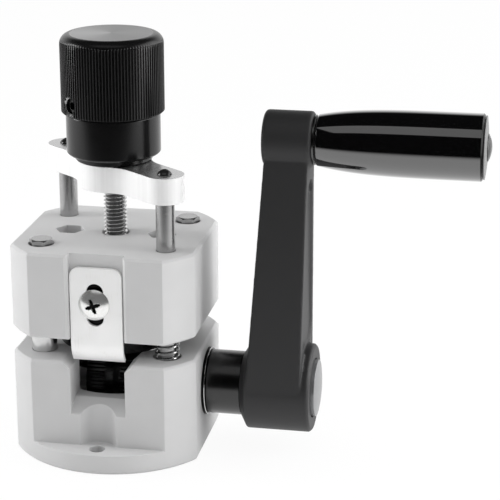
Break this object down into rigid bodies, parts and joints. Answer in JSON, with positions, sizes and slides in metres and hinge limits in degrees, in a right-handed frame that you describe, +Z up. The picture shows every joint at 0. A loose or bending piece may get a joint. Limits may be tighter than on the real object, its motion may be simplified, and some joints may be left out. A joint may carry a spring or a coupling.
{
  "type": "hand crank wire stripper",
  "caption": "Bench wire stripper with a round-bar base and head, a knurled depth knob on a screw spindle, a slitting wheel, a feed roller and a hand crank with a turning grip.",
  "frame": {"origin": "centre of the base block's underside, on the axis of the round bar that it is cut from", "axes": "+Z up along the spindle, +X along the crank shaft towards the crank, -Y towards the side where the wire goes in"},
  "size_m": [0.1899, 0.0888, 0.1717],
  "materials": {
    "bar_stock": "satin",
    "bright_aluminium": "satin",
    "black_aluminium": "black anodised",
    "polished_steel": "polished",
    "stainless": "brushed",
    "dark_steel": "black oxide",
    "black_steel": "semi-gloss black",
    "cast_black": "matte powder coat",
    "bronze": "turned",
    "black_plastic": "gloss",
    "grey_plastic": "satin light grey"
  },
  "bodies": {
    "base": {"base_block": "bar_stock", "post_right": "polished_steel", "post_left": "polished_steel", "guide_pin_left": "polished_steel", "guide_pin_right": "polished_steel", "post_screws": "dark_steel", "crossbar": "bright_aluminium", "crossbar_screws": "dark_steel", "spring_right": "polished_steel", "spring_left": "polished_steel", "bearing_outer_rings": "polished_steel", "bearing_balls": "polished_steel", "bearing_shields": "dark_steel"},
    "head": {"head_block": "bar_stock", "guide_plate_screw": "polished_steel", "thrust_pad": "bronze", "blade_carrier": "black_aluminium", "carrier_bolts": "dark_steel", "blade_axle": "polished_steel"},
    "guide": {"guide_plate": "stainless"},
    "blade": {"cutting_blade": "polished_steel", "blade_bushing": "bronze", "blade_spacers": "dark_steel"},
    "knob": {"spindle": "polished_steel", "knob_collar": "black_aluminium", "knob_cap": "black_aluminium", "knob_set_screw": "dark_steel", "knob_screw": "dark_steel"},
    "crank": {"drive_shaft": "polished_steel", "feed_roller": "black_steel", "roller_set_screw": "dark_steel", "bearing_inner_rings": "polished_steel", "shaft_clip": "dark_steel", "crank_sleeve": "black_steel", "crank_key": "polished_steel", "crank_arm": "cast_black", "hub_washer": "polished_steel", "hub_screw": "dark_steel", "hub_cap": "grey_plastic", "grip_spindle": "polished_steel", "grip_washer": "polished_steel", "grip_end_cap": "grey_plastic", "grip_screw": "polished_steel"},
    "grip": {"grip": "black_plastic"}
  },
  "joints": [
    {"name": "head_slide", "type": "slide", "parent": "base", "child": "head", "axis": [0, 0, 1], "range_m": [0, 0.01111], "deforming": ["spring_right", "spring_left"]},
    {"name": "knob_turn", "type": "hinge", "parent": "head", "child": "knob", "pos_m": [0, 0, 0.12], "axis": [0, 0, 1], "range_deg": [0, 2520]},
    {"name": "guide_slide", "type": "slide", "parent": "head", "child": "guide", "axis": [0, 0, 1], "range_m": [-0.006, 0.0034]},
    {"name": "blade_turn", "type": "hinge", "parent": "head", "child": "blade", "pos_m": [0, 0, 0.0555], "axis": [1, 0, 0], "continuous": true},
    {"name": "crank_turn", "type": "hinge", "parent": "base", "child": "crank", "pos_m": [0, 0, 0.0262], "axis": [1, 0, 0], "continuous": true},
    {"name": "grip_turn", "type": "hinge", "parent": "crank", "child": "grip", "pos_m": [0.1, 0, 0.1317], "axis": [1, 0, 0], "continuous": true}
  ],
  "couplings": [
    {"joint": "knob_turn", "follows": "head_slide", "rad_per_m": 3957.9}
  ]
}
